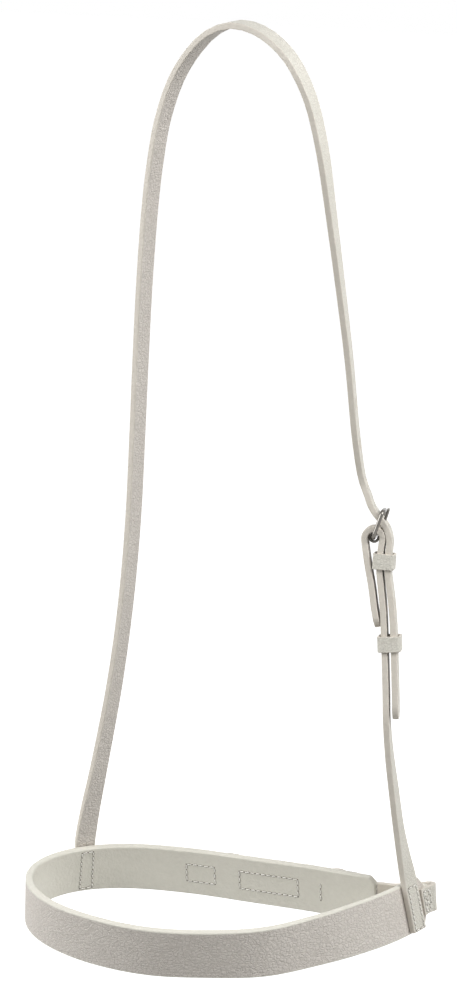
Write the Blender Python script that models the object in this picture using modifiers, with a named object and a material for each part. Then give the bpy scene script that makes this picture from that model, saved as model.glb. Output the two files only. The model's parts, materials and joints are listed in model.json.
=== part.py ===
"""Bridle noseband of synthetic leather, buckled and hanging from the poll.

Metres, +Z up. The origin is on the underside of the headpiece at the poll.
+X points to the horse's right cheek strap as worn, -Y to the nose, +Y to the chin.
"""
import math

import bmesh
import bpy
from mathutils import Vector

# Clearances
GAP = 0.0003
LAYER_GAP = 0.0005
OVERRUN = 0.002

# Nose band
BAND_HEIGHT = 0.030
BAND_THICKNESS = 0.0045
BAND_CORNER_CLIP = 0.004
SHOULDER_LENGTH = 0.005
END_TAB_LENGTH = 0.0032
RING_LENGTH = 0.228
RING_WIDTH = 0.127
RING_OFFSET_X = 0.0054
RING_OFFSET_Y = 0.0017
HEAD_DROP = 0.4994

# Narrow straps over the head and at the right cheek
STRAP_WIDTH = 0.012
STRAP_THICKNESS = 0.0036
LEFT_SPAN = 0.092
RIGHT_SPAN = 0.084
POLL_SWAY = 0.016
LEFT_JOINT_REACH = 0.1832
RIGHT_JOINT_SETBACK = 0.0207
JOINT_END_MARGIN = 0.001
BAND_EDGE_RISE = 0.003

# Right cheek buckle, in the plane that its straps bend in
CHEEK_HEEL_X = 0.0789
CHEEK_HEEL_Y = 0.0140
CHEEK_PLANE_TURN = math.radians(-9.5)
CHEEK_PLANE_LEAN = math.radians(12)
CHEEK_DROP = 0.2063
CHEEK_FOLD_RADIUS = 0.0052
CHEEK_FOLD_LENGTH = 0.0515
CHEEK_TAIL_LENGTH = 0.1130
TAIL_SPREAD = 0.0013
TAIL_TIP_LENGTH = 0.004
TIP_NARROWING = 0.6

# Buckles
BUCKLE_PITCH = 0.0167
BUCKLE_WIRE = 0.0026
BUCKLE_CORNER = 0.0030
BUCKLE_SIDE_ROOM = 0.0012
CHEEK_BUCKLE_TILT = math.radians(18)
TONGUE_WIRE = 0.0018
TONGUE_TIP_REACH = 0.0022
TONGUE_EYE_WRAP = math.radians(262)
SLOT_WIDTH = 0.0036
SLOT_DROP = 0.0042

# Punched holes
HOLE_WIDTH = 0.003
HOLE_LENGTH = 0.0070
HEADPIECE_HOLE_PITCH = 0.025
HEADPIECE_HOLES_ABOVE = 3
HEADPIECE_HOLES_BELOW = 3

# Keepers
KEEPER_WALL = 0.0012
KEEPER_WIDTH = 0.0092
KEEPER_CORNER = 0.0008
KEEPER_SLACK = 0.0014
FIXED_KEEPER_DROP = 0.0137
RUNNER_DROP = 0.0598

# Chin strap and its buckle chape
CHIN_WIDTH = 0.016
CHIN_THICKNESS = 0.003
CHIN_TAB_LENGTH = 0.0117
CHIN_DROOP = 0.003
CHIN_HEEL_REACH = 0.029
CHIN_FOLD_RADIUS = 0.0031
CHIN_TAIL_REACH = 0.113
CHAPE_END_REACH = 0.126
CHAPE_TURN_REACH = 0.0385
CHIN_KEEPER_WIDTH = 0.007
CHIN_KEEPER_REACHES = (0.0465, 0.0955)
CHIN_KEEPER_HUMP = (0.56, 1.19)
CHIN_HOLE_PITCH = 0.020
CHIN_HOLES_AFTER = 3
CHIN_HOLE_LENGTH = 0.0084

# Stitching
STITCH_PITCH = 0.0036
STITCH_WIRE = 0.0006
STITCH_INSET = 0.0022
CHAPE_LINE_REACH = 0.0355
LONG_BOX_REACHES = (0.050, 0.087)
SHORT_BOX_REACHES = (0.103, 0.121)

# Sampling along the straps
BAND_STEP = 0.005
STRAP_STEP = 0.010
FINE_STEP = 0.0022
FOLD_SIDES = 12
TUBE_RESOLUTION = 2

# Plan of the band's outer face at its top edge: shares of the ring's length and width,
# and how far the bottom edge leans outwards, a share of the height.
RING_SHARES = (
    (0.351, 0.047, 0.05), (0.190, 0.083, 0.11), (0.000, 0.102, 0.13), (-0.175, 0.114, 0.15),
    (-0.329, 0.081, 0.18), (-0.425, 0.004, 0.21), (-0.487, -0.102, 0.20), (-0.522, -0.236, 0.14),
    (-0.524, -0.394, 0.05), (-0.482, -0.567, -0.03), (-0.395, -0.717, -0.08), (-0.263, -0.823, -0.08),
    (-0.110, -0.870, -0.11), (0.035, -0.827, -0.13), (0.175, -0.705, -0.04), (0.285, -0.476, 0.08),
    (0.354, -0.278, 0.23), (0.390, -0.168, 0.26), (0.422, -0.050, 0.26), (0.441, 0.043, 0.24),
    (0.452, 0.102, 0.20), (0.461, 0.133, 0.17), (0.468, 0.150, 0.15),
)

# Left side of the headpiece from the band to the poll: shares of the left span outwards,
# of the sway to the back, of the head drop downwards, and the strap's turn in degrees.
LEFT_SHARES = (
    (1.000, 0.14, 0.955, 42), (0.945, 0.19, 0.905, 30), (0.830, 0.30, 0.790, 20), (0.757, 0.42, 0.688, 17),
    (0.711, 0.51, 0.590, 17), (0.686, 0.61, 0.493, 17), (0.665, 0.71, 0.397, 18), (0.640, 0.80, 0.302, 19),
    (0.603, 0.90, 0.209, 20), (0.572, 0.94, 0.162, 20), (0.527, 0.98, 0.116, 20), (0.441, 1.03, 0.069, 22),
    (0.310, 0.78, 0.033, 24), (0.170, 0.45, 0.009, 22),
)

# Right side from the poll to the buckle: shares of the right span, of the sway to the front,
# of the head drop, and the strap's turn in degrees.
RIGHT_SHARES = (
    (0.000, 0.000, -0.0036, 18), (0.165, 0.22, 0.000, 16), (0.305, 0.50, 0.011, 13), (0.424, 0.73, 0.028, 11),
    (0.506, 0.84, 0.049, 9), (0.561, 0.82, 0.071, 7), (0.598, 0.79, 0.093, 6), (0.648, 0.69, 0.138, 4),
    (0.675, 0.46, 0.185, 0), (0.723, -0.03, 0.279, -5), (0.768, -0.52, 0.375, -8), (0.807, -0.87, 0.472, -9),
)

# The headpiece where it nears and crosses the cheek buckle: shares of the buckle's pitch
# outwards and upwards from the heel bar.
CROSSING_SHARES = (
    (-0.455, 1.95), (-0.251, 1.44), (-0.156, 1.17), (0.012, 0.88), (0.216, 0.65), (0.389, 0.425),
    (0.497, 0.190),
)

# The cheek strap below its fold: outwards from the heel bar as a share of the pitch, and
# downwards as a share of the cheek drop. The last two rows bound a straight stretch.
CHEEK_SHARES = (
    (0.263, 0.038), (0.240, 0.083), (0.317, 0.138), (0.407, 0.195), (0.600, 0.435), (0.640, 0.504),
)

# The cheek strap's turned-back end inside the fold, shares of the pitch and of its length.
TURNED_END_SHARES = ((0.115, 0.25), (0.305, 0.56), (0.425, 0.80), (0.560, 1.00))

# Cheek strap between its straight stretch and the band: shares of the way along X, Y and Z,
# and the strap's turn in degrees.
CHEEK_FOOT_SHARES = (
    (0.12, 0.06, 0.20, -8), (0.35, 0.28, 0.45, -3), (0.58, 0.60, 0.70, 0), (0.80, 0.82, 0.87, 9),
)

# The chin strap's turn from the band's right end to its free end: ring shares and how far it
# droops, a share of the droop.
CHIN_TURN_SHARES = (
    (0.4807, 0.178, 0.2), (0.4715, 0.202, 0.5), (0.4539, 0.210, 0.85), (0.4307, 0.192, 1.0),
    (0.3943, 0.165, 1.0), (0.3693, 0.146, 0.9),
)

# The chin strap over its buckle: shares of the pitch from the far bar to the heel bar, of the
# rise from the band's face to above the chape's fold, and of the droop.
CHIN_APPROACH_SHARES = (
    (-0.60, 0.72, 0.65), (-0.36, 0.30, 0.40), (-0.17, 0.04, 0.20), (0.00, 0.00, 0.08),
    (0.12, 0.01, 0.0), (0.30, 0.20, 0.0), (0.50, 0.48, 0.0), (0.70, 0.77, 0.0), (0.90, 0.97, 0.0),
    (1.08, 1.02, 0.0),
)
CHIN_TAB_SHARES = (0.0, 0.3, 0.6, 0.8, 0.93, 1.03, 1.10)
TONGUE_SHARES = (0.35, 0.7, 1.0)
FOLD_SETTLE = 0.58

MATERIALS = {
    "band": ((0.60, 0.57, 0.53, 1), 0.55, 0.0),
    "strap": ((0.64, 0.61, 0.56, 1), 0.55, 0.0),
    "keeper": ((0.58, 0.56, 0.52, 1), 0.45, 0.0),
    "steel": ((0.60, 0.59, 0.57, 1), 0.22, 1.0),
    "thread": ((0.75, 0.74, 0.70, 1), 0.70, 0.0),
}

UP = Vector((0, 0, 1))


def clear_scene():
    for item in list(bpy.data.objects):
        bpy.data.objects.remove(item)


def make_collections():
    parts = bpy.data.collections.new("bridle_noseband")
    cutters = bpy.data.collections.new("cutters")
    for group in (parts, cutters):
        bpy.context.scene.collection.children.link(group)
    return parts, cutters


def make_material(name):
    colour, roughness, metallic = MATERIALS[name]
    material = bpy.data.materials.new(name)
    material.use_nodes = True
    shader = material.node_tree.nodes["Principled BSDF"]
    shader.inputs["Base Color"].default_value = colour
    shader.inputs["Roughness"].default_value = roughness
    shader.inputs["Metallic"].default_value = metallic
    return material


def add_object(name, data, material, origin=None):
    item = bpy.data.objects.new(name, data)
    if origin is not None:
        item.location = origin
    data.materials.append(material)
    PARTS.objects.link(item)
    return item


def smooth_row(rows, index, share):
    """Centripetal Catmull-Rom between rows[index] and rows[index + 1], for rows of any width."""
    last = len(rows) - 1
    knots = [rows[max(index - 1, 0)], rows[index], rows[index + 1], rows[min(index + 2, last)]]
    if index == 0:
        knots[0] = [2 * a - b for a, b in zip(rows[0], rows[1])]
    if index + 1 == last:
        knots[3] = [2 * a - b for a, b in zip(rows[last], rows[last - 1])]
    times = [0.0]
    for a, b in zip(knots, knots[1:]):
        times.append(times[-1] + math.sqrt((Vector(b[:3]) - Vector(a[:3])).length))
    moment = times[1] + (times[2] - times[1]) * share

    def blend(a, b, start, end):
        weight = (moment - start) / (end - start)
        return [p * (1 - weight) + q * weight for p, q in zip(a, b)]

    first = [blend(knots[i], knots[i + 1], times[i], times[i + 1]) for i in range(3)]
    second = [blend(first[i], first[i + 1], times[i], times[i + 2]) for i in range(2)]
    return blend(second[0], second[1], times[1], times[2])


class Route:
    """A smooth line through rows of a place and a direction across, read by its length."""

    def __init__(self, rows, step):
        self.rows = []
        for index in range(len(rows) - 1):
            chord = (Vector(rows[index + 1][:3]) - Vector(rows[index][:3])).length
            count = max(2, math.ceil(chord / step))
            self.rows += [smooth_row(rows, index, i / count) for i in range(count)]
        self.rows.append(list(rows[-1]))
        self.reach = [0.0]
        for a, b in zip(self.rows, self.rows[1:]):
            self.reach.append(self.reach[-1] + (Vector(b[:3]) - Vector(a[:3])).length)
        self.length = self.reach[-1]

    def row(self, reach):
        index = 0
        while index < len(self.reach) - 2 and self.reach[index + 1] < reach:
            index += 1
        span = self.reach[index + 1] - self.reach[index]
        share = (reach - self.reach[index]) / span
        return [a + (b - a) * share for a, b in zip(self.rows[index], self.rows[index + 1])]

    def place(self, reach):
        return Vector(self.row(reach)[:3])

    def along(self, reach):
        return (self.place(reach + FINE_STEP / 2) - self.place(reach - FINE_STEP / 2)).normalized()

    def across(self, reach):
        along = self.along(reach)
        across = Vector(self.row(reach)[3:6])
        return (across - along * across.dot(along)).normalized()

    def reaches(self, start, end, extra=()):
        inner = [reach for reach in self.reach if start + GAP < reach < end - GAP]
        inner = [reach for reach in inner if all(abs(reach - other) > GAP for other in extra)]
        return sorted([start, end] + inner + list(extra))

    def nearest(self, point):
        return min(self.reach, key=lambda reach: (self.place(reach) - point).length)


def ribbon(name, route, width, thickness, material, clips=(0, 0), clip_shares=(0, 0), tab=0.0):
    """A strap: one long edge extruded across and given its thickness.

    Its ends narrow by their clip shares over the clips, the far end before a narrow tab.
    """
    end = route.length - tab
    extra = [clips[0]] if clips[0] else []
    extra += [end - clips[1]] if clips[1] else []
    extra += [end] if tab else []
    mesh = bpy.data.meshes.new(name)
    shape = bmesh.new()
    corners = []
    for reach in route.reaches(0.0, route.length, extra):
        cut = 0.0
        if clips[0]:
            cut = max(cut, (1 - reach / clips[0]) * clip_shares[0])
        if clips[1]:
            cut = max(cut, min(1.0, 1 - (end - reach) / clips[1]) * clip_shares[1])
        half = route.across(reach) * width / 2 * (1 - cut)
        corners.append((route.place(reach) - half, route.place(reach) + half))
    near = [shape.verts.new(low) for low, high in corners]
    edges = [shape.edges.new(pair) for pair in zip(near, near[1:])]
    made = bmesh.ops.extrude_edge_only(shape, edges=edges)["geom"]
    far = {}
    for vert in (item for item in made if isinstance(item, bmesh.types.BMVert)):
        index = min(range(len(corners)), key=lambda i: (corners[i][0] - vert.co).length)
        far[index] = vert
    for index, vert in far.items():
        vert.co = corners[index][1]
    bmesh.ops.recalc_face_normals(shape, faces=shape.faces[:])
    shape.to_mesh(mesh)
    shape.free()
    item = add_object(name, mesh, material)
    wall = item.modifiers.new("thickness", "SOLIDIFY")
    wall.thickness = thickness
    wall.offset = 0
    wall.use_even_offset = True
    return item


def rounded_rectangle(length, width, corner, sides):
    """Points round a rectangle centred on zero, its corners turned in arcs."""
    points = []
    for quarter in range(4):
        sign_x = 1 if quarter in (0, 3) else -1
        sign_y = 1 if quarter in (0, 1) else -1
        for step in range(sides + 1):
            angle = math.pi / 2 * (quarter + step / sides)
            points.append((sign_x * (length / 2 - corner) + corner * math.cos(angle),
                           sign_y * (width / 2 - corner) + corner * math.sin(angle)))
    return points


def tube(name, points, diameter, material, origin, closed=False, resolution=TUBE_RESOLUTION):
    """A bent wire through points given from its origin."""
    curve = bpy.data.curves.new(name, "CURVE")
    curve.dimensions = "3D"
    curve.bevel_depth = diameter / 2
    curve.bevel_resolution = resolution
    curve.use_fill_caps = True
    spline = curve.splines.new("POLY")
    spline.points.add(len(points) - 1)
    for point, place in zip(spline.points, points):
        point.co = (*place, 1)
    spline.use_cyclic_u = closed
    return add_object(name, curve, material, origin)


def cut_with(item, place, along, across, through, sizes, corner):
    """Cuts a rounded slot of sizes (along, across, through) out of a strap."""
    mesh = bpy.data.meshes.new(item.name + "_cutter")
    shape = bmesh.new()
    outline = rounded_rectangle(sizes[0], sizes[1], corner, 4)
    verts = [shape.verts.new(place + along * a + across * b - through * sizes[2] / 2) for a, b in outline]
    face = shape.faces.new(verts)
    made = bmesh.ops.extrude_face_region(shape, geom=[face])["geom"]
    moved = [vert for vert in made if isinstance(vert, bmesh.types.BMVert)]
    bmesh.ops.translate(shape, verts=moved, vec=through * sizes[2])
    bmesh.ops.recalc_face_normals(shape, faces=shape.faces[:])
    shape.to_mesh(mesh)
    shape.free()
    cutter = bpy.data.objects.new(mesh.name, mesh)
    CUTTERS.objects.link(cutter)
    cutter.hide_render = True
    cutter.display_type = "WIRE"
    cut = item.modifiers.new("hole", "BOOLEAN")
    cut.operation = "DIFFERENCE"
    cut.solver = "EXACT"
    cut.object = cutter


def keeper(name, centre, along, across, outward, inner_depth, inner_width, width, material):
    """A loop of thin strap round the layers that pass through it, its origin at its middle."""
    mesh = bpy.data.meshes.new(name)
    shape = bmesh.new()
    corner = KEEPER_CORNER + KEEPER_WALL / 2
    outline = rounded_rectangle(inner_depth + KEEPER_WALL, inner_width + KEEPER_WALL, corner, 3)
    verts = [shape.verts.new(outward * a + across * b - along * width / 2) for a, b in outline]
    edges = [shape.edges.new((a, b)) for a, b in zip(verts, verts[1:] + verts[:1])]
    made = bmesh.ops.extrude_edge_only(shape, edges=edges)["geom"]
    moved = [vert for vert in made if isinstance(vert, bmesh.types.BMVert)]
    bmesh.ops.translate(shape, verts=moved, vec=along * width)
    bmesh.ops.recalc_face_normals(shape, faces=shape.faces[:])
    shape.to_mesh(mesh)
    shape.free()
    item = add_object(name, mesh, material, centre)
    wall = item.modifiers.new("wall", "SOLIDIFY")
    wall.thickness = KEEPER_WALL
    wall.offset = 0
    wall.use_even_offset = True
    return item


def thread(name, corners, frame, material, closed=True):
    """A seam's thread, drawn as one thin cord on the face; frame(a, b) gives its place there."""
    ends = corners[1:] + corners[:1] if closed else corners[1:]
    places = []
    for start, end in zip(corners, ends):
        count = max(2, round(math.dist(start, end) / STITCH_PITCH))
        for index in range(count):
            share = index / count
            places.append(frame(start[0] + (end[0] - start[0]) * share, start[1] + (end[1] - start[1]) * share))
    if not closed:
        places.append(frame(*corners[-1]))
    points = [place + out * (GAP + STITCH_WIRE / 2) for place, out in places]
    origin = points[0].copy()
    return tube(name, [point - origin for point in points], STITCH_WIRE, material, origin, closed, 1)


def box_corners(low_x, high_x, low_y, high_y):
    return [(low_x, low_y), (high_x, low_y), (high_x, high_y), (low_x, high_y)]


def turned(degrees):
    """The level direction across a hanging strap, turned from +Y towards +X."""
    angle = math.radians(degrees)
    return Vector((math.sin(angle), math.cos(angle), 0))


def make_ring_route():
    rows = []
    for share_x, share_y, lean in RING_SHARES:
        rows.append([RING_OFFSET_X + share_x * RING_LENGTH, RING_OFFSET_Y + share_y * RING_WIDTH,
                     -HEAD_DROP, lean])
    return Route(rows, BAND_STEP)


def on_band(reach, out, height=0.0):
    """A place out from the band's outer face, and the axes along, up and out of the band there."""
    clamped = min(max(reach, FINE_STEP), RING.length - FINE_STEP)
    row = RING.row(clamped)
    along = RING.along(clamped)
    level_out = along.cross(UP)
    up = (UP - level_out * row[3]).normalized()
    face_out = (level_out + UP * row[3]).normalized()
    place = Vector(row[:3]) + along * (reach - clamped)
    place += face_out * out - up * (BAND_HEIGHT / 2 - height)
    return place, along, up, face_out


def band_row(reach, out, height=0.0):
    place, along, up, face_out = on_band(reach, out, height)
    return [*place, *up]


def in_cheek_plane(out, drop):
    """A place in the cheek buckle's plane, measured outwards and downwards from its heel bar."""
    heel = Vector((CHEEK_HEEL_X, CHEEK_HEEL_Y, CHEEK_DROP - HEAD_DROP))
    return heel + CHEEK_OUT * out - CHEEK_UP * drop


def cheek_row(out, drop):
    return [*in_cheek_plane(out, drop), *CHEEK_ACROSS]


def make_cheek_main_rows():
    """The cheek strap from the top of its fold down to the end of its straight stretch."""
    rows = []
    for step in range(FOLD_SIDES // 2 + 1):
        angle = math.pi / 2 * (1 - step / (FOLD_SIDES // 2))
        rows.append(cheek_row(CHEEK_FOLD_RADIUS * math.cos(angle), -CHEEK_FOLD_RADIUS * math.sin(angle)))
    for out, drop in CHEEK_SHARES:
        rows.append(cheek_row(out * BUCKLE_PITCH, drop * CHEEK_DROP))
    return rows


def strap_on_band_rows(reach, sign):
    """A narrow strap lying up the band's outer face, from its bottom edge to its top edge."""
    rows = []
    out = GAP + STRAP_THICKNESS / 2
    low = -BAND_HEIGHT / 2 + JOINT_END_MARGIN
    for height in (low, 0.0, BAND_HEIGHT / 2, BAND_HEIGHT / 2 + BAND_EDGE_RISE):
        place, along, up, face_out = on_band(reach, out, height)
        rows.append([*place, *(along * sign)])
    return rows


def tail_offset(reach):
    """From the cheek strap's middle to that of the headpiece's tail, which spreads a little."""
    return STRAP_THICKNESS + LAYER_GAP + TAIL_SPREAD * min(1.0, reach / RUNNER_DROP)


def make_headpiece_route():
    rows = strap_on_band_rows(LEFT_JOINT_REACH, -1)
    for out, sway, drop, turn in LEFT_SHARES:
        rows.append([-out * LEFT_SPAN, sway * POLL_SWAY, -drop * HEAD_DROP, *turned(turn)])
    for out, sway, drop, turn in RIGHT_SHARES:
        rows.append([out * RIGHT_SPAN, -sway * POLL_SWAY, -drop * HEAD_DROP, *turned(turn)])
    for out, rise in CROSSING_SHARES:
        rows.append(cheek_row(out * BUCKLE_PITCH, -rise * BUCKLE_PITCH))
    main = Route(make_cheek_main_rows(), FINE_STEP)
    start = main.nearest(in_cheek_plane(CHEEK_FOLD_RADIUS, 0)) + FINE_STEP
    pitch = (CHEEK_TAIL_LENGTH - start) / FOLD_SIDES
    for index in range(FOLD_SIDES + 1):
        reach = start + pitch * index
        rows.append([*(main.place(reach) + CHEEK_OUT * tail_offset(reach)), *CHEEK_ACROSS])
    return Route(rows, STRAP_STEP)


def make_cheek_route():
    """The cheek strap from its turned-back tip, round the heel bar and down to the band."""
    rows = []
    for out, share in reversed(TURNED_END_SHARES):
        rows.append(cheek_row(out * BUCKLE_PITCH - CHEEK_FOLD_RADIUS, share * CHEEK_FOLD_LENGTH))
    for step in range(FOLD_SIDES // 2):
        angle = math.pi - math.pi / 2 * step / (FOLD_SIDES // 2)
        rows.append(cheek_row(CHEEK_FOLD_RADIUS * math.cos(angle), -CHEEK_FOLD_RADIUS * math.sin(angle)))
    main = make_cheek_main_rows()
    rows += main
    foot = strap_on_band_rows(RING.length - RIGHT_JOINT_SETBACK, 1)
    top = Vector(main[-1][:3])
    way = Vector(foot[-1][:3]) - top
    for share_x, share_y, share_z, turn in CHEEK_FOOT_SHARES:
        place = top + Vector((way.x * share_x, way.y * share_y, way.z * share_z))
        rows.append([*place, *turned(turn)])
    rows += reversed(foot)
    return Route(rows, FINE_STEP)


def chape_out(reach):
    """How far the chape's main layer stands off the band, humped over its two keepers."""
    base = GAP + CHIN_THICKNESS / 2
    lifted = 2 * GAP + KEEPER_WALL + CHIN_THICKNESS / 2 + GAP
    doubled = base + CHIN_THICKNESS + LAYER_GAP
    out = base
    flat, foot = CHIN_KEEPER_HUMP
    for centre in CHIN_KEEPER_REACHES:
        near = abs(reach - centre) / CHIN_KEEPER_WIDTH
        out = max(out, base + (lifted - base) * min(1.0, max(0.0, (foot - near) / (foot - flat))))
    hump_start = CHIN_KEEPER_REACHES[0] - CHIN_KEEPER_WIDTH * flat
    if reach < hump_start:
        fall = (reach - CHAPE_TURN_REACH) / (hump_start - CHAPE_TURN_REACH)
        out = doubled - (doubled - lifted) * max(0.0, fall)
    return out


def make_chape_route():
    base = GAP + CHIN_THICKNESS / 2
    heel = base + CHIN_FOLD_RADIUS
    rows = [band_row(CHAPE_TURN_REACH, base), band_row(CHAPE_LINE_REACH, base),
            band_row(CHIN_HEEL_REACH + FINE_STEP, base)]
    for step in range(FOLD_SIDES + 1):
        angle = math.pi * (0.5 + step / FOLD_SIDES)
        rows.append(band_row(CHIN_HEEL_REACH + CHIN_FOLD_RADIUS * math.cos(angle),
                             heel - CHIN_FOLD_RADIUS * math.sin(angle)))
    top = heel + CHIN_FOLD_RADIUS
    half_way = (CHIN_HEEL_REACH + CHAPE_LINE_REACH) / 2
    settled = chape_out(CHAPE_LINE_REACH)
    rows.append(band_row(half_way, settled + (top - settled) * FOLD_SETTLE))
    reach = CHAPE_LINE_REACH
    while reach < CHAPE_END_REACH:
        rows.append(band_row(reach, chape_out(reach)))
        reach += FINE_STEP
    rows.append(band_row(CHAPE_END_REACH, chape_out(CHAPE_END_REACH)))
    return Route(rows, FINE_STEP)


def make_chin_route():
    """The chin strap: sewn to the band's right end, round to the free end, buckled, kept."""
    base = GAP + CHIN_THICKNESS / 2
    rows = []
    for share in CHIN_TAB_SHARES:
        rows.append(band_row(RING.length - CHIN_TAB_LENGTH * (1 - share), base))
    for share_x, share_y, droop in CHIN_TURN_SHARES:
        rows.append([RING_OFFSET_X + share_x * RING_LENGTH, RING_OFFSET_Y + share_y * RING_WIDTH,
                     -HEAD_DROP - BAND_HEIGHT / 2 - droop * CHIN_DROOP, *UP])
    far_bar = CHIN_HEEL_REACH - BUCKLE_PITCH
    over = base + 2 * CHIN_FOLD_RADIUS + CHIN_THICKNESS + LAYER_GAP
    for share, rise, droop in CHIN_APPROACH_SHARES:
        reach = far_bar + share * BUCKLE_PITCH
        rows.append(band_row(reach, base + rise * (over - base), -droop * CHIN_DROOP))
    layer = CHIN_THICKNESS + LAYER_GAP
    half_way = (CHIN_HEEL_REACH + CHAPE_LINE_REACH) / 2
    settled = chape_out(CHAPE_LINE_REACH) + layer
    rows.append(band_row(half_way + FINE_STEP / 2, settled + (over - settled) * FOLD_SETTLE))
    reach = CHAPE_LINE_REACH + FINE_STEP / 2
    while reach < CHIN_TAIL_REACH:
        rows.append(band_row(reach, chape_out(reach) + layer))
        reach += FINE_STEP
    rows.append(band_row(CHIN_TAIL_REACH, chape_out(CHIN_TAIL_REACH) + layer))
    return Route(rows, FINE_STEP)


def buckle(prefix, origin, towards_bar, outward, across, strap_width, material):
    """A wire frame and its tongue; both turn about the heel bar, where their origins are."""
    inner_width = strap_width + 2 * BUCKLE_SIDE_ROOM
    outline = rounded_rectangle(BUCKLE_PITCH, inner_width + BUCKLE_WIRE, BUCKLE_CORNER, 4)
    points = [towards_bar * (a + BUCKLE_PITCH / 2) + across * b for a, b in outline]
    frame = tube(prefix + "_buckle_frame", points, BUCKLE_WIRE, material, origin, closed=True)
    eye = (BUCKLE_WIRE + TONGUE_WIRE) / 2 + GAP
    points = []
    for step in range(FOLD_SIDES + 1):
        angle = TONGUE_EYE_WRAP * (1 - step / FOLD_SIDES)
        points.append(outward * eye * math.cos(angle) - towards_bar * eye * math.sin(angle))
    for share in TONGUE_SHARES:
        points.append(outward * eye + towards_bar * (BUCKLE_PITCH * share))
    points.append(points[-1] + towards_bar * TONGUE_TIP_REACH - outward * GAP)
    tongue = tube(prefix + "_buckle_tongue", points, TONGUE_WIRE, material, origin)
    return frame, tongue


def punch(item, route, reach, length):
    along = route.along(reach)
    across = route.across(reach)
    sizes = (length, HOLE_WIDTH, STRAP_THICKNESS + 2 * OVERRUN)
    cut_with(item, route.place(reach), along, across, along.cross(across), sizes, HOLE_WIDTH / 2 - GAP / 3)


def tongue_crossing(route, origin, towards_bar, outward):
    """Where along a strap its middle passes the tongue's line."""
    eye = (BUCKLE_WIRE + TONGUE_WIRE) / 2 + GAP
    near = [reach for reach in route.reach
            if 0 < (route.place(reach) - origin).dot(towards_bar) < BUCKLE_PITCH
            and (route.place(reach) - origin).length < BUCKLE_PITCH]
    return min(near, key=lambda reach: abs((route.place(reach) - origin).dot(outward) - eye))


clear_scene()
PARTS, CUTTERS = make_collections()
BAND, STRAP, KEEPER, STEEL, THREAD = [make_material(name) for name in MATERIALS]
RING = make_ring_route()
CHEEK_OUT = Vector((math.cos(CHEEK_PLANE_TURN), -math.sin(CHEEK_PLANE_TURN), 0))
CHEEK_ACROSS = UP.cross(CHEEK_OUT) * math.cos(CHEEK_PLANE_LEAN) - UP * math.sin(CHEEK_PLANE_LEAN)
CHEEK_UP = CHEEK_OUT.cross(CHEEK_ACROSS)

# Nose band
band_rows = [band_row(reach, -BAND_THICKNESS / 2) for reach in RING.reach]
band_route = Route(band_rows, BAND_STEP)
nose_band = ribbon("nose_band", band_route, BAND_HEIGHT, BAND_THICKNESS, BAND,
                   clips=(BAND_CORNER_CLIP, SHOULDER_LENGTH), tab=END_TAB_LENGTH,
                   clip_shares=(2 * BAND_CORNER_CLIP / BAND_HEIGHT, 1 - CHIN_WIDTH / BAND_HEIGHT))

# Headpiece and cheek strap
head_route = make_headpiece_route()
headpiece = ribbon("headpiece_strap", head_route, STRAP_WIDTH, STRAP_THICKNESS, STRAP,
                   clips=(0, TAIL_TIP_LENGTH), clip_shares=(0, TIP_NARROWING))
cheek_route = make_cheek_route()
cheek = ribbon("cheek_strap", cheek_route, STRAP_WIDTH, STRAP_THICKNESS, STRAP,
               clips=(STRAP_WIDTH / 3, 0), clip_shares=(TIP_NARROWING, 0))

# Cheek buckle
cheek_heel = in_cheek_plane(0, 0)
cheek_bar_way = CHEEK_UP * math.cos(CHEEK_BUCKLE_TILT) + CHEEK_OUT * math.sin(CHEEK_BUCKLE_TILT)
cheek_bar_out = CHEEK_OUT * math.cos(CHEEK_BUCKLE_TILT) - CHEEK_UP * math.sin(CHEEK_BUCKLE_TILT)
buckle("cheek", cheek_heel, cheek_bar_way, cheek_bar_out, CHEEK_ACROSS, STRAP_WIDTH, STEEL)
slot_sizes = (2 * CHEEK_FOLD_RADIUS, SLOT_WIDTH, 2 * (CHEEK_FOLD_RADIUS + SLOT_DROP))
cut_with(cheek, cheek_heel + CHEEK_UP * CHEEK_FOLD_RADIUS, CHEEK_OUT, CHEEK_ACROSS, CHEEK_UP, slot_sizes,
         SLOT_WIDTH / 3)
crossing = tongue_crossing(head_route, cheek_heel, cheek_bar_way, cheek_bar_out)
for index in range(-HEADPIECE_HOLES_ABOVE, HEADPIECE_HOLES_BELOW + 1):
    punch(headpiece, head_route, crossing + index * HEADPIECE_HOLE_PITCH, HOLE_LENGTH)

# Cheek keepers, round the cheek strap and the headpiece's tail
main_route = Route(make_cheek_main_rows(), FINE_STEP)
for name, drop in (("cheek_keeper_fixed", FIXED_KEEPER_DROP), ("cheek_keeper_runner", RUNNER_DROP)):
    reach = min(main_route.reach, key=lambda r: abs((cheek_heel - main_route.place(r)).dot(CHEEK_UP) - drop))
    along = main_route.along(reach)
    outward = along.cross(CHEEK_ACROSS)
    centre = main_route.place(reach) + outward * tail_offset(reach) / 2
    depth = STRAP_THICKNESS + tail_offset(reach) + 2 * GAP + KEEPER_SLACK
    keeper(name, centre, along, CHEEK_ACROSS, outward, depth, STRAP_WIDTH + 2 * GAP, KEEPER_WIDTH, KEEPER)

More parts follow.
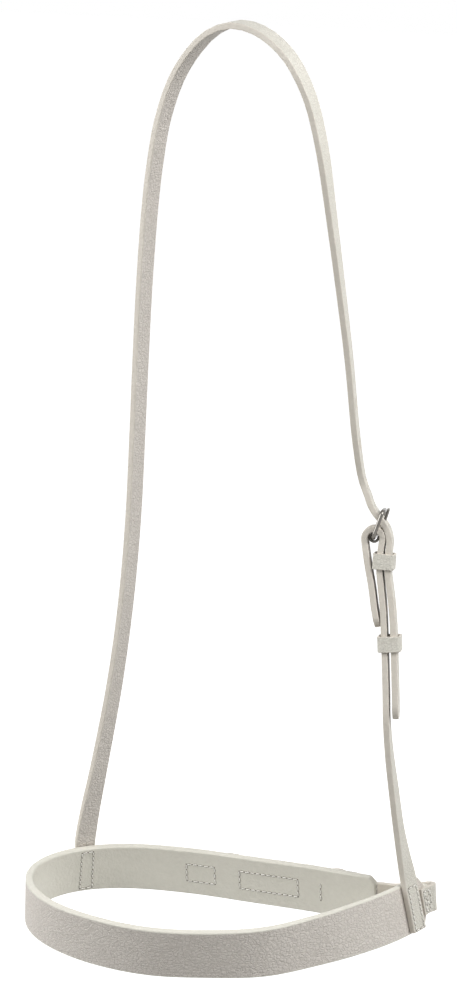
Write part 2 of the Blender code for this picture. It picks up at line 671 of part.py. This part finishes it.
# Chin strap, chape and chin buckle
chape_route = make_chape_route()
chape = ribbon("chin_buckle_chape", chape_route, CHIN_WIDTH, CHIN_THICKNESS, STRAP)
chin_route = make_chin_route()
chin = ribbon("chin_strap", chin_route, CHIN_WIDTH, CHIN_THICKNESS, STRAP,
              clips=(0, TAIL_TIP_LENGTH), clip_shares=(0, TIP_NARROWING))
heel_out = GAP + CHIN_THICKNESS / 2 + CHIN_FOLD_RADIUS
chin_heel, heel_along, heel_up, heel_face = on_band(CHIN_HEEL_REACH, heel_out)
buckle("chin", chin_heel, -heel_along, heel_face, heel_up, CHIN_WIDTH, STEEL)
slot_sizes = (4 * CHIN_FOLD_RADIUS, SLOT_WIDTH, 4 * CHIN_FOLD_RADIUS)
cut_with(chape, chin_heel, heel_along, heel_up, heel_face, slot_sizes, SLOT_WIDTH / 3)
crossing = tongue_crossing(chin_route, chin_heel, -heel_along, heel_face)
for index in range(CHIN_HOLES_AFTER + 1):
    punch(chin, chin_route, crossing + index * CHIN_HOLE_PITCH, CHIN_HOLE_LENGTH)
for index, reach in enumerate(CHIN_KEEPER_REACHES):
    name = "chin_keeper_" + ("first", "second")[index]
    middle = chape_out(reach) + (CHIN_THICKNESS + LAYER_GAP) / 2
    centre, along, up, outward = on_band(reach, middle)
    depth = 2 * CHIN_THICKNESS + LAYER_GAP + 2 * GAP
    keeper(name, centre, along, up, outward, depth, CHIN_WIDTH + 2 * GAP, CHIN_KEEPER_WIDTH, KEEPER)


def inside_band(reach, height):
    place, along, up, face_out = on_band(reach, -BAND_THICKNESS, height)
    return place, -face_out


def outside_band(reach, height, layers):
    place, along, up, face_out = on_band(reach, layers, height)
    return place, face_out


# Stitching through the band
half_strap = STRAP_WIDTH / 2 - STITCH_INSET
half_chin = CHIN_WIDTH / 2 - STITCH_INSET
half_band = BAND_HEIGHT / 2 - STITCH_INSET
right_joint = RING.length - RIGHT_JOINT_SETBACK
strap_face = GAP + STRAP_THICKNESS
chin_face = GAP + CHIN_THICKNESS
corners = box_corners(LEFT_JOINT_REACH - half_strap, LEFT_JOINT_REACH + half_strap, -half_band, half_band)
thread("headpiece_joint_thread", corners, inside_band, THREAD)
corners = box_corners(right_joint - half_strap, right_joint + half_strap, -half_band, half_band)
thread("cheek_joint_thread", corners, lambda a, b: outside_band(a, b, strap_face), THREAD)
tab_start = RING.length - CHIN_TAB_LENGTH + STITCH_INSET
corners = box_corners(tab_start, RING.length - STITCH_INSET, -half_chin, half_chin)
thread("chin_strap_thread", corners, lambda a, b: outside_band(a, b, chin_face), THREAD)
thread("chape_long_thread", box_corners(*LONG_BOX_REACHES, -half_chin, half_chin), inside_band, THREAD)
thread("chape_short_thread", box_corners(*SHORT_BOX_REACHES, -half_chin, half_chin), inside_band, THREAD)
corners = [(CHAPE_LINE_REACH, -half_chin), (CHAPE_LINE_REACH, half_chin)]
thread("chape_line_thread", corners, inside_band, THREAD, closed=False)
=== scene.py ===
import json
import math
import random
import bmesh
import bpy
from mathutils import Matrix, Vector

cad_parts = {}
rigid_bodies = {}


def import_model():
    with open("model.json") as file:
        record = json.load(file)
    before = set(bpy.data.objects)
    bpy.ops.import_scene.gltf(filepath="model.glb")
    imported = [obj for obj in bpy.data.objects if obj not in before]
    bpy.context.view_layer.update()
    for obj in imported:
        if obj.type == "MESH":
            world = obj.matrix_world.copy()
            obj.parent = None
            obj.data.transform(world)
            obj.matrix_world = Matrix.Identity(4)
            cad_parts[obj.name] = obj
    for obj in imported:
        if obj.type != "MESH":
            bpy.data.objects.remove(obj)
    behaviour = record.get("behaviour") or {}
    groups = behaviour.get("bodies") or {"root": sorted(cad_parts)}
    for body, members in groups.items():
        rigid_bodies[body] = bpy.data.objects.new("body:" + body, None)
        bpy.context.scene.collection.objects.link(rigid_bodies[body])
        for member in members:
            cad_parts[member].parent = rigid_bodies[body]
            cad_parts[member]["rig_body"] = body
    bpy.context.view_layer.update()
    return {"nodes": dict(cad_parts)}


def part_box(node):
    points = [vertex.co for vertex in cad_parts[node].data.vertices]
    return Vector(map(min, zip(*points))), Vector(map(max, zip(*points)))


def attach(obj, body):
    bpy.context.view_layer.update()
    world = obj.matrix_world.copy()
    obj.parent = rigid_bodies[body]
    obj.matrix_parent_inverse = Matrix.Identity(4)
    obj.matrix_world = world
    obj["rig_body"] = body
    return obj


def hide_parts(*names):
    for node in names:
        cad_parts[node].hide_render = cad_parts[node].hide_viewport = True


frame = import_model()
bpy.context.scene.view_settings.view_transform = "Standard"
print("frame loaded:", len(frame["nodes"]), "nodes")


# Small helpers

mmPerMetre = 1000


def hexColor(text):
    channels = [int(text[i:i + 2], 16) / 255 for i in (1, 3, 5)]
    linear = [c / 12.92 if c <= 0.04045 else ((c + 0.055) / 1.055) ** 2.4 for c in channels]
    return (*linear, 1)


def addNode(tree, kind, inputs=None, **settings):
    node = tree.nodes.new(kind)
    for name, value in settings.items():
        setattr(node, name, value)
    for name, value in (inputs or {}).items():
        if isinstance(value, bpy.types.NodeSocket):
            tree.links.new(value, node.inputs[name])
        else:
            node.inputs[name].default_value = value
    return node


def newMaterial(name):
    material = bpy.data.materials.new(name)
    material.use_nodes = True
    return material, material.node_tree, material.node_tree.nodes["Principled BSDF"]


def objectPlace(tree):
    return addNode(tree, "ShaderNodeTexCoord").outputs["Object"]


def addNoise(tree, place, sizeMm, detail, distortion=0.0):
    return addNode(tree, "ShaderNodeTexNoise", {
        "Vector": place, "Scale": mmPerMetre / sizeMm, "Detail": detail, "Distortion": distortion})


def mixColors(tree, share, first, second):
    mixed = addNode(tree, "ShaderNodeMixRGB", {"Fac": share, "Color1": first, "Color2": second})
    return mixed.outputs["Color"]


def mapTo(tree, value, low, high):
    mapped = addNode(tree, "ShaderNodeMapRange", {"Value": value, "To Min": low, "To Max": high})
    return mapped.outputs["Result"]


def addBump(tree, height, strength, distance, normal=None):
    inputs = {"Height": height, "Strength": strength, "Distance": distance}
    if normal:
        inputs["Normal"] = normal
    return addNode(tree, "ShaderNodeBump", inputs).outputs["Normal"]


# 1 for the rays that show a surface to the camera, straight or by way of metal or glass
def seenRays(tree):
    rays = addNode(tree, "ShaderNodeLightPath").outputs
    first = addNode(tree, "ShaderNodeMath", {0: rays["Is Camera Ray"], 1: rays["Is Glossy Ray"]},
                    operation="MAXIMUM")
    both = addNode(tree, "ShaderNodeMath", {0: first.outputs["Value"], 1: rays["Is Transmission Ray"]},
                   operation="MAXIMUM")
    return both.outputs["Value"]


# Materials

# PU-coated synthetic leather: a matt plastic film embossed with a wrinkled pebble grain that
# runs along the strap, soft highlights, and painted shade that darkens the valleys between the pebbles
filmLook = {"warpSize": 1.6, "warpShare": 0.0011, "pebbleEdge": 0.22, "roughSpread": 0.07,
            "creaseDepth": 0.0012, "fineDepth": 0.0002, "ior": 1.48, "sheen": 0.05}


def makeCoatedLeather(name, look):
    material, tree, shader = newMaterial(name)
    place = objectPlace(tree)
    patches = addNoise(tree, place, look["patchMm"], 3.0)
    warp = addNoise(tree, place, look["grainMm"] * filmLook["warpSize"], 2.0)
    fine = addNoise(tree, place, look["fineMm"], 4.0)
    creases = addNoise(tree, place, look["creaseMm"], 5.0, 1.2)
    shift = addNode(tree, "ShaderNodeMixRGB", {
        "Fac": look["grainMm"] * filmLook["warpShare"], "Color1": place,
        "Color2": warp.outputs["Color"]}, blend_type="ADD")
    squash = addNode(tree, "ShaderNodeMapping", {
        "Vector": shift.outputs["Color"], "Scale": (1.0, 1.0, look["squash"])})
    cells = addNode(tree, "ShaderNodeTexVoronoi", {
        "Vector": squash.outputs["Vector"], "Scale": mmPerMetre / look["grainMm"]},
        feature="DISTANCE_TO_EDGE")
    pebble = addNode(tree, "ShaderNodeMapRange", {
        "Value": cells.outputs["Distance"], "From Min": 0.0, "From Max": filmLook["pebbleEdge"]},
        interpolation_type="SMOOTHSTEP").outputs["Result"]
    tone = mixColors(tree, patches.outputs["Fac"], hexColor(look["dark"]), hexColor(look["light"]))
    # painted shade: the base colour is darkened in the valleys between the pebbles, where shade would
    # fall
    valleyShade = mapTo(tree, pebble, look["valleyShade"], 0.0)
    shaded = mixColors(tree, valleyShade, tone, hexColor(look["valleyShadeColor"]))
    tree.links.new(shaded, shader.inputs["Base Color"])
    rough = mapTo(tree, fine.outputs["Fac"], look["rough"] - filmLook["roughSpread"],
                  look["rough"] + filmLook["roughSpread"])
    tree.links.new(rough, shader.inputs["Roughness"])
    creased = addBump(tree, creases.outputs["Fac"], look["creaseStrength"], filmLook["creaseDepth"])
    grained = addBump(tree, pebble, look["grainStrength"], look["reliefMm"] / mmPerMetre, creased)
    finished = addBump(tree, fine.outputs["Fac"], look["fineStrength"], filmLook["fineDepth"], grained)
    tree.links.new(finished, shader.inputs["Normal"])
    shader.inputs["IOR"].default_value = filmLook["ior"]
    shader.inputs["Specular IOR Level"].default_value = look["specular"]
    shader.inputs["Sheen Weight"].default_value = filmLook["sheen"]
    return material


# Edge paint: several coats of acrylic over the cut edge, rubbed smooth, with faint waves
paintLook = {"waveStrength": 0.35, "waveDepth": 0.0003, "speckStrength": 0.8, "speckDepth": 0.0004,
             "ior": 1.49}


def makeEdgePaint(name, look):
    material, tree, shader = newMaterial(name)
    place = objectPlace(tree)
    waves = addNoise(tree, place, look["waveMm"], 3.0).outputs["Fac"]
    specks = addNoise(tree, place, look["speckMm"], 3.0).outputs["Fac"]
    tone = mixColors(tree, waves, hexColor(look["dark"]), hexColor(look["light"]))
    tree.links.new(tone, shader.inputs["Base Color"])
    waved = addBump(tree, waves, paintLook["waveStrength"], paintLook["waveDepth"])
    speckled = addBump(tree, specks, paintLook["speckStrength"], paintLook["speckDepth"], waved)
    tree.links.new(speckled, shader.inputs["Normal"])
    shader.inputs["Roughness"].default_value = look["rough"]
    shader.inputs["IOR"].default_value = paintLook["ior"]
    return material


# Nickel-plated steel wire, cast and tumbled: bright mirror film with faint pits and smears
def makeNickel(name, look):
    material, tree, shader = newMaterial(name)
    place = objectPlace(tree)
    smears = addNoise(tree, place, look["smearMm"], 4.0).outputs["Fac"]
    pits = addNoise(tree, place, look["pitMm"], 2.0).outputs["Fac"]
    tone = mixColors(tree, smears, hexColor(look["dark"]), hexColor(look["light"]))
    tree.links.new(tone, shader.inputs["Base Color"])
    rough = mapTo(tree, smears, look["smooth"], look["rough"])
    tree.links.new(rough, shader.inputs["Roughness"])
    pitted = addBump(tree, pits, look["pitStrength"], look["pitDepth"])
    tree.links.new(pitted, shader.inputs["Normal"])
    shader.inputs["Metallic"].default_value = 1.0
    return material


# Waxed polyester thread: three strands twisted, drawn as slanted ridges along each stitch
def makeThread(name, look):
    material, tree, shader = newMaterial(name)
    slant = addNode(tree, "ShaderNodeMapping", {"Vector": objectPlace(tree), "Rotation": look["turn"]})
    twist = addNode(tree, "ShaderNodeTexWave", {
        "Vector": slant.outputs["Vector"], "Scale": look["ridgeScale"] / look["twistMm"],
        "Distortion": 2.0}).outputs["Fac"]
    tone = mixColors(tree, twist, hexColor(look["dark"]), hexColor(look["light"]))
    tree.links.new(tone, shader.inputs["Base Color"])
    ridged = addBump(tree, twist, look["ridgeStrength"], look["ridgeDepth"])
    tree.links.new(ridged, shader.inputs["Normal"])
    shader.inputs["Roughness"].default_value = look["rough"]
    shader.inputs["Sheen Weight"].default_value = look["sheen"]
    return material


bandLeather = makeCoatedLeather("pebbled coated leather, band", {
    "dark": "#D0C7C2", "light": "#DDD5CF", "valleyShadeColor": "#8D847B", "valleyShade": 0.55,
    "patchMm": 24, "grainMm": 3.2, "squash": 1.7, "fineMm": 1.2, "creaseMm": 5.0, "reliefMm": 0.8,
    "grainStrength": 1.0, "creaseStrength": 0.6, "fineStrength": 0.8, "rough": 0.48, "specular": 0.5})
strapLeather = makeCoatedLeather("fine-grained coated leather, straps", {
    "dark": "#DAD7CC", "light": "#E3E0D6", "valleyShadeColor": "#B3ADA2", "valleyShade": 0.3,
    "patchMm": 18, "grainMm": 1.8, "squash": 1.2, "fineMm": 0.8, "creaseMm": 5.0, "reliefMm": 0.35,
    "grainStrength": 0.45, "creaseStrength": 0.2, "fineStrength": 0.4, "rough": 0.5, "specular": 0.45})
liningLeather = makeCoatedLeather("smooth coated leather, lining side", {
    "dark": "#DCD5CE", "light": "#E6E0D8", "valleyShadeColor": "#B4ADA2", "valleyShade": 0.3,
    "patchMm": 20, "grainMm": 2.4, "squash": 1.4, "fineMm": 1.0, "creaseMm": 7.0, "reliefMm": 0.4,
    "grainStrength": 0.6, "creaseStrength": 0.4, "fineStrength": 0.6, "rough": 0.56, "specular": 0.4})
bandEdge = makeEdgePaint("edge paint, band", {
    "dark": "#DFDCD0", "light": "#EBE8DD", "waveMm": 3.0, "speckMm": 1.5, "rough": 0.42})
strapEdge = makeEdgePaint("edge paint, straps", {
    "dark": "#D5CEC3", "light": "#E1DBD0", "waveMm": 2.5, "speckMm": 1.2, "rough": 0.5})
nickel = makeNickel("nickel-plated steel wire", {
    "dark": "#5A5753", "light": "#87847F", "smearMm": 5.0, "pitMm": 0.6, "smooth": 0.12, "rough": 0.26,
    "pitStrength": 0.15, "pitDepth": 0.0001})
stitchThread = makeThread("waxed polyester thread", {
    "dark": "#E2DFD6", "light": "#FBF9F3", "twistMm": 0.7, "turn": (0.5, 0.4, 0.8), "ridgeScale": 320,
    "ridgeStrength": 0.5, "ridgeDepth": 0.0001, "rough": 0.7, "sheen": 0.2})
needleShade = makeEdgePaint("needle hole shadow", {
    "dark": "#6B6359", "light": "#7A7268", "waveMm": 1.0, "speckMm": 0.5, "rough": 0.9})
# painted shade: a darker colour for the shadow in the groove that each stitch presses into the leather
stitchGrooveShade = makeEdgePaint("painted shade in the groove beside a stitch", {
    "dark": "#857D73", "light": "#A0988D", "waveMm": 1.5, "speckMm": 0.8, "rough": 0.7})
print("materials made")


# Shaping helpers

def selectOnly(item):
    for other in bpy.data.objects:
        other.select_set(False)
    item.select_set(True)
    bpy.context.view_layer.objects.active = item


def startEdit(item):
    selectOnly(item)
    bpy.ops.object.mode_set(mode="EDIT")


def endEdit():
    bpy.ops.object.mode_set(mode="OBJECT")


def applyModifiers(item):
    selectOnly(item)
    for modifier in list(item.modifiers):
        bpy.ops.object.modifier_apply(modifier=modifier.name)


# A copy of a CAD node with its split corners merged and its triangles joined where they lie flat
mergeLook = {"distance": 0.000005, "faceAngle": 8, "shapeAngle": 80}


def copyNode(node, name):
    item = bpy.data.objects.new(name, frame["nodes"][node].data.copy())
    bpy.context.scene.collection.objects.link(item)
    item.data.materials.clear()
    startEdit(item)
    bpy.ops.mesh.select_all(action="SELECT")
    bpy.ops.mesh.remove_doubles(threshold=mergeLook["distance"])
    bpy.ops.mesh.tris_convert_to_quads(face_threshold=math.radians(mergeLook["faceAngle"]),
                                       shape_threshold=math.radians(mergeLook["shapeAngle"]))
    endEdit()
    return item


def finishPiece(item, node):
    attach(item, frame["nodes"][node]["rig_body"])
    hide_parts(node)


# Straps: the cut edges are rounded and painted, the two broad faces keep their own leather
outerSlot, liningSlot, edgeSlot = 0, 1, 2


def paintFaces(mesh, indices, slotIndex):
    for index in indices:
        mesh.polygons[index].material_index = slotIndex


# The largest face not yet given to a side, with all that lies nearly flat against it
def selectBroadSide(item, byArea, flatAngle):
    mesh = item.data
    seed = next(index for index in byArea if mesh.polygons[index].material_index == edgeSlot)
    for face in mesh.polygons:
        face.select = face.index == seed
    startEdit(item)
    bpy.ops.mesh.faces_select_linked_flat(sharpness=math.radians(flatAngle))
    endEdit()
    return [face.index for face in mesh.polygons if face.select]


def makeStrap(node, name, look):
    item = copyNode(node, name)
    mesh = item.data
    for material in look["materials"]:
        mesh.materials.append(material)
    startEdit(item)
    bpy.ops.mesh.select_mode(type="FACE")
    bpy.ops.mesh.select_all(action="DESELECT")
    endEdit()
    byArea = sorted(range(len(mesh.polygons)), key=lambda index: -mesh.polygons[index].area)
    paintFaces(mesh, byArea, edgeSlot)
    firstSide = selectBroadSide(item, byArea, look["flatAngle"])
    paintFaces(mesh, firstSide, outerSlot)
    secondSide = selectBroadSide(item, byArea, look["flatAngle"])
    paintFaces(mesh, secondSide, liningSlot)
    if not look["outerSide"](mesh, firstSide):
        paintFaces(mesh, firstSide, liningSlot)
        paintFaces(mesh, secondSide, outerSlot)
    startEdit(item)
    bpy.ops.mesh.select_all(action="DESELECT")
    bpy.ops.mesh.select_mode(type="EDGE")
    bpy.ops.mesh.edges_select_sharp(sharpness=math.radians(look["sharpAngle"]))
    bpy.ops.mesh.bevel(offset=look["edgeRound"], segments=look["edgeSides"], affect="EDGES",
                       clamp_overlap=False, material=edgeSlot)
    endEdit()
    selectOnly(item)
    bpy.ops.object.shade_smooth_by_angle(angle=math.radians(look["smoothAngle"]))
    weighted = item.modifiers.new("weighted normals", "WEIGHTED_NORMAL")
    weighted.keep_sharp = True
    weighted.weight = look["normalWeight"]
    applyModifiers(item)
    finishPiece(item, node)
    return item


# A test for a set of faces: true where they look away from an upright line through centre
def facesOutOf(centre):
    def side(mesh, indices):
        faces = [mesh.polygons[index] for index in indices]
        return sum(face.normal.xy.dot((face.center - centre).xy) * face.area for face in faces) > 0
    return side


headCentre = Vector((0.0, 0.0, -0.3))
strapLook = {"materials": [strapLeather, liningLeather, strapEdge], "flatAngle": 40, "sharpAngle": 42,
             "smoothAngle": 35, "edgeRound": 0.0006, "edgeSides": 3, "normalWeight": 60,
             "outerSide": facesOutOf(headCentre)}
makeStrap("headpiece_strap", "headpieceStrap", strapLook)
cheekStrap = makeStrap("cheek_strap", "cheekStrap", strapLook)
chinStrap = makeStrap("chin_strap", "chinStrap", strapLook)
makeStrap("chin_buckle_chape", "chinBuckleChape", strapLook)

bandLook = dict(strapLook, materials=[bandLeather, liningLeather, bandEdge], edgeRound=0.0011,
                edgeSides=4)
noseBand = makeStrap("nose_band", "noseBand", bandLook)
print("straps made")

keeperLook = dict(strapLook, flatAngle=42, sharpAngle=50, edgeRound=0.00035, edgeSides=2,
                  smoothAngle=40)
for node, name in (("cheek_keeper_fixed", "cheekKeeperFixed"),
                   ("cheek_keeper_runner", "cheekKeeperRunner"),
                   ("chin_keeper_first", "chinKeeperFirst"),
                   ("chin_keeper_second", "chinKeeperSecond")):
    low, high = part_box(node)
    makeStrap(node, name, dict(keeperLook, outerSide=facesOutOf((low + high) / 2)))
print("keepers made")


# Buckles: the wire of the CAD solids, rounded by subdivision
buckleLook = {"levels": 2}
for node, name in (("cheek_buckle_frame", "cheekBuckleFrame"),
                   ("cheek_buckle_tongue", "cheekBuckleTongue"),
                   ("chin_buckle_frame", "chinBuckleFrame"),
                   ("chin_buckle_tongue", "chinBuckleTongue")):
    item = copyNode(node, name)
    item.data.materials.append(nickel)
    rounder = item.modifiers.new("rounding", "SUBSURF")
    rounder.levels = rounder.render_levels = buckleLook["levels"]
    applyModifiers(item)
    bpy.ops.object.shade_smooth()
    finishPiece(item, node)
print("buckles made")


# Stitching: single stitches of thread between needle holes, laid on the leather's face, with a dark bead
# of painted shade at each needle hole and a wider flat bead of painted shade under each stitch
stitchLook = {"pitch": 0.0034, "length": 0.0030, "thick": 0.0010, "hole": 0.0010, "grooveShadeWidth": 0.0016,
              "slant": 8, "wander": 4, "sides": 8, "rings": 6, "stitchFlat": 0.8, "stitchRaise": 0.00012,
              "holeShape": (1.0, 0.8, 0.14), "holeRaise": 0.00003, "grooveShadeFlat": 0.12}
threadSlot, holeSlot, grooveShadeSlot = 0, 1, 2


def seamSteps(corners, closed):
    steps = []
    ends = corners[1:] + corners[:1] if closed else corners[1:]
    for start, end in zip(corners, ends):
        start, end = Vector(start), Vector(end)
        count = max(1, round((end - start).length / stitchLook["pitch"]))
        steps += [(start.lerp(end, i / count), start.lerp(end, (i + 1) / count)) for i in range(count)]
    return steps


def addCopy(target, mesh, matrix, slotIndex):
    before = len(target.verts)
    target.from_mesh(mesh)
    target.verts.ensure_lookup_table()
    bmesh.ops.transform(target, matrix=matrix, verts=target.verts[before:])
    for vert in target.verts[before:]:
        for face in vert.link_faces:
            face.material_index = slotIndex


def makeBead(name, width):
    bpy.ops.mesh.primitive_uv_sphere_add(segments=stitchLook["sides"], ring_count=stitchLook["rings"],
                                         radius=width / 2)
    bpy.context.object.name = name
    return bpy.context.object


def scaled(x, y, z):
    return Matrix.Diagonal((x, y, z, 1.0))


def makeStitches(node, name, surface, seams):
    stitch = makeBead(name + "stitch", stitchLook["thick"])
    hole = makeBead(name + "hole", stitchLook["hole"])
    made = bmesh.new()
    sewing = random.Random(len(name))
    for start, end in (step for corners, closed in seams for step in seamSteps(corners, closed)):
        _, startOn, startOut, _ = surface.closest_point_on_mesh(start)
        _, endOn, endOut, _ = surface.closest_point_on_mesh(end)
        along = endOn - startOn
        reach = stitchLook["length"] * along.length / stitchLook["pitch"]
        along.normalize()
        side = (startOut + endOut).normalized().cross(along).normalized()
        out = along.cross(side)
        middle = (startOn + endOn) / 2
        turn = Matrix((along, side, out)).transposed().to_4x4()
        slant = math.radians(stitchLook["slant"] + sewing.uniform(-1, 1) * stitchLook["wander"])
        slanted = turn @ Matrix.Rotation(slant, 4, "Z")
        stitchPlace = Matrix.Translation(middle + out * stitchLook["stitchRaise"])
        stitchSize = scaled(reach / stitchLook["thick"], 1.0, stitchLook["stitchFlat"])
        addCopy(made, stitch.data, stitchPlace @ slanted @ stitchSize, threadSlot)
        holePlace = Matrix.Translation(startOn + startOut * stitchLook["holeRaise"])
        addCopy(made, hole.data, holePlace @ turn @ scaled(*stitchLook["holeShape"]), holeSlot)
        # painted shade: a wide flat dark bead under the stitch stands for the shadow in its groove
        grooveShadeSize = scaled(reach / stitchLook["hole"], stitchLook["grooveShadeWidth"] / stitchLook["hole"],
                            stitchLook["grooveShadeFlat"])
        addCopy(made, hole.data, Matrix.Translation(middle) @ slanted @ grooveShadeSize, grooveShadeSlot)
    mesh = bpy.data.meshes.new(name)
    made.to_mesh(mesh)
    made.free()
    item = bpy.data.objects.new(name, mesh)
    bpy.context.scene.collection.objects.link(item)
    for material in (stitchThread, needleShade, stitchGrooveShade):
        mesh.materials.append(material)
    for face in mesh.polygons:
        face.use_smooth = True
    for shape in (stitch, hole):
        bpy.data.objects.remove(shape)
    finishPiece(item, node)


# Corners of each seam, in metres in the part's frame
leftInside = [(-0.0918, 0.0035, -0.5275), (-0.0980, -0.0012, -0.5275), (-0.0946, -0.0051, -0.5025),
              (-0.0890, -0.0009, -0.5025)]
cheekOutside = [(0.1127, -0.0057, -0.5254), (0.1152, 0.0020, -0.5255), (0.1094, 0.0040, -0.5006),
                (0.1068, -0.0033, -0.5006)]
tabOutside = [(0.1148, 0.0099, -0.5191), (0.1163, 0.0153, -0.5194), (0.1147, 0.0163, -0.5079),
              (0.1125, 0.0107, -0.5077)]
longInside = [(0.0356, 0.0112, -0.5206), (-0.0013, 0.0133, -0.5206), (-0.0014, 0.0118, -0.5091),
              (0.0355, 0.0098, -0.5091)]
shortInside = [(-0.0173, 0.0144, -0.5206), (-0.0351, 0.0148, -0.5206), (-0.0350, 0.0131, -0.5092),
               (-0.0173, 0.0128, -0.5091)]
lineInside = [(0.0500, 0.0099, -0.5206), (0.0499, 0.0086, -0.5090)]
tabSeams = [(tabOutside, True), (tabOutside[0::2], False), (tabOutside[1::2], False)]

makeStitches("headpiece_joint_thread", "headpieceJointStitches", noseBand, [(leftInside, True)])
makeStitches("cheek_joint_thread", "cheekJointStitches", cheekStrap, [(cheekOutside, True)])
makeStitches("chin_strap_thread", "chinTabStitches", chinStrap, tabSeams)
makeStitches("chape_long_thread", "chapeLongStitches", noseBand, [(longInside, True)])
makeStitches("chape_short_thread", "chapeShortStitches", noseBand, [(shortInside, True)])
makeStitches("chape_line_thread", "chapeLineStitches", noseBand, [(lineInside, False)])
print("stitches made")


# Camera, floor and light

cameraLook = {"place": (0.6166, -1.9695, 0.3571), "azimuth": 17.5, "pitch": 17.0, "lens": 135.0,
              "sensor": 36, "nearest": 0.01}
lens = bpy.data.cameras.new("photoView")
lens.lens = cameraLook["lens"]
lens.sensor_width = cameraLook["sensor"]
lens.clip_start = cameraLook["nearest"]
camera = bpy.data.objects.new("photoView", lens)
bpy.context.scene.collection.objects.link(camera)
camera.location = cameraLook["place"]
camera.rotation_euler = (math.radians(90 - cameraLook["pitch"]), 0, math.radians(cameraLook["azimuth"]))
bpy.context.scene.camera = camera

lightLook = {
    "right": {"place": (1.2, -0.1, 0.5), "size": 1.0, "power": 14.5},
    "left": {"place": (-1.2, -0.2, 0.2), "size": 1.0, "power": 7.8},
    "leftFront": {"place": (-0.9, -0.9, 0.3), "size": 0.8, "power": 9.0},
    "topRight": {"place": (0.8, -0.5, 1.1), "size": 0.8, "power": 9.2},
    "back": {"place": (0.3, 1.4, 0.5), "size": 1.2, "power": 2.0},
}
lampAim = Vector((0, 0, -0.3))
for name, look in lightLook.items():
    lamp = bpy.data.lights.new(name + "Softbox", "AREA")
    lamp.shape = "DISK"
    lamp.size = look["size"]
    lamp.energy = look["power"]
    light = bpy.data.objects.new(name + "Softbox", lamp)
    light.location = look["place"]
    light.rotation_euler = (lampAim - Vector(look["place"])).to_track_quat("-Z", "Y").to_euler()
    light.visible_camera = False
    bpy.context.scene.collection.objects.link(light)

# The world looks white and lights the object only a little
worldLook = {"lighting": 0.03, "seen": 1.0}
world = bpy.data.worlds.new("whiteStudio")
bpy.context.scene.world = world
world.use_nodes = True
worldTree = world.node_tree
strength = mapTo(worldTree, seenRays(worldTree), worldLook["lighting"], worldLook["seen"])
backdrop = worldTree.nodes["Background"]
backdrop.inputs["Color"].default_value = (1, 1, 1, 1)
worldTree.links.new(strength, backdrop.inputs["Strength"])

# The floor takes the object's shadow and is lifted to white where it is seen
floorLook = {"size": 8.0, "height": -0.72, "lift": 0.95, "color": "#B4B4B2", "rough": 0.8}
bpy.ops.mesh.primitive_plane_add(size=floorLook["size"], location=(0, 0, floorLook["height"]))
floor = bpy.context.object
floor.name = "studioFloor"
floorMaterial, floorTree, floorShader = newMaterial("white floor")
floorShader.inputs["Base Color"].default_value = hexColor(floorLook["color"])
floorShader.inputs["Roughness"].default_value = floorLook["rough"]
floorLift = addNode(floorTree, "ShaderNodeMath", {0: seenRays(floorTree), 1: floorLook["lift"]},
                    operation="MULTIPLY")
glow = addNode(floorTree, "ShaderNodeEmission", {
    "Color": (1, 1, 1, 1), "Strength": floorLift.outputs["Value"]})
floorSum = addNode(floorTree, "ShaderNodeAddShader", {
    0: floorShader.outputs["BSDF"], 1: glow.outputs["Emission"]})
floorTree.links.new(floorSum.outputs["Shader"], floorTree.nodes["Material Output"].inputs["Surface"])
floor.data.materials.append(floorMaterial)
print("stage made")
